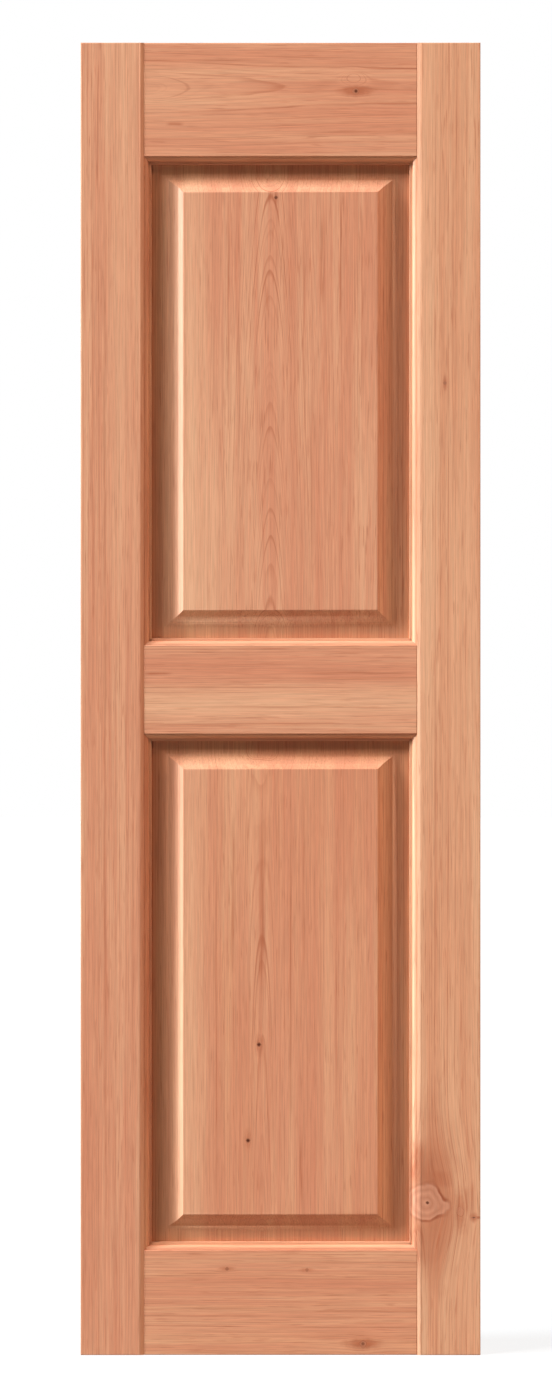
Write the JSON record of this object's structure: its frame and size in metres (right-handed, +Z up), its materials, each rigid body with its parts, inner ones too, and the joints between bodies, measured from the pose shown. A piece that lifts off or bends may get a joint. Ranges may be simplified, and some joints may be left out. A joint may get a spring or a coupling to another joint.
{
  "type": "raised panel window shutter",
  "caption": "Tall wooden window shutter with moulded stiles and rails that frame an upper and a lower raised panel.",
  "frame": {"origin": "on the flat back, at half the width and half the height, which is on the back of the middle rail", "axes": "+Z up along the stiles, +Y out of the flat back towards the wall, +X to the right of someone who faces the moulded side"},
  "size_m": [0.3714, 0.0286, 1.2192],
  "materials": {
    "cedar_frame": "smooth planed softwood, unpainted",
    "cedar_panel": "smooth planed softwood, unpainted"
  },
  "bodies": {
    "root": {"left_stile": "cedar_frame", "right_stile": "cedar_frame", "top_rail": "cedar_frame", "mid_rail": "cedar_frame", "bottom_rail": "cedar_frame", "upper_panel": "cedar_panel", "lower_panel": "cedar_panel"}
  },
  "joints": []
}
